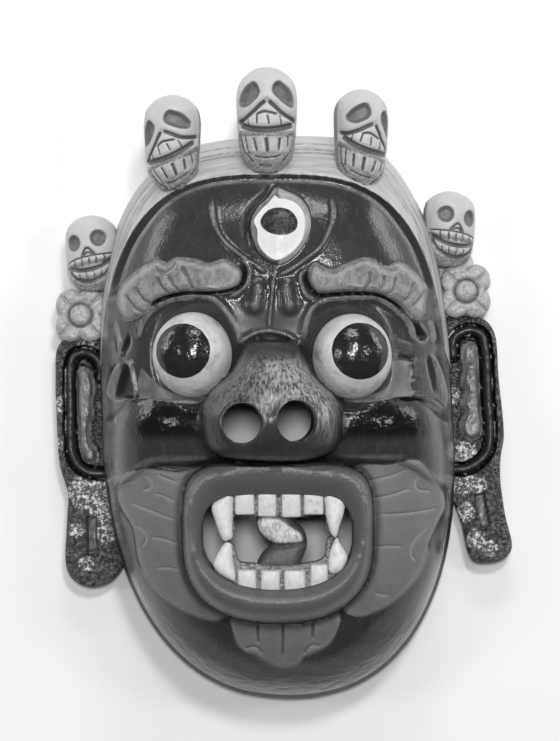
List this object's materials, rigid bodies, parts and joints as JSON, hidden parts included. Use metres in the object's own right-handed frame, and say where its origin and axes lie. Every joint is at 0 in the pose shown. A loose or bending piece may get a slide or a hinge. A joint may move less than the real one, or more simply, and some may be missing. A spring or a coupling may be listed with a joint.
{
  "type": "carved wooden dance mask",
  "caption": "Wide-mouthed, three-eyed wrathful mask, a hollow carved shell with skulls on its crown band and long ear boards at its sides.",
  "frame": {"origin": "centre of the bounding box's footprint, on the flat back rim's plane", "axes": "+Z out of the face, +Y towards the crown, +X towards the viewer's right; the mask lies face up on its back rim"},
  "size_m": [0.3028, 0.414, 0.163],
  "materials": {
    "head_lacquer": "dark glossy lacquer over carved wood, with matte painted areas",
    "pale_paint": "pale satin paint over carved wood",
    "ear_lacquer": "dark glossy pitted lacquer over carved wood"
  },
  "bodies": {
    "root": {"head": "head_lacquer", "crown_skull_left": "pale_paint", "crown_skull_centre": "pale_paint", "crown_skull_right": "pale_paint", "ear_left": "ear_lacquer", "ear_right": "ear_lacquer"}
  },
  "joints": []
}
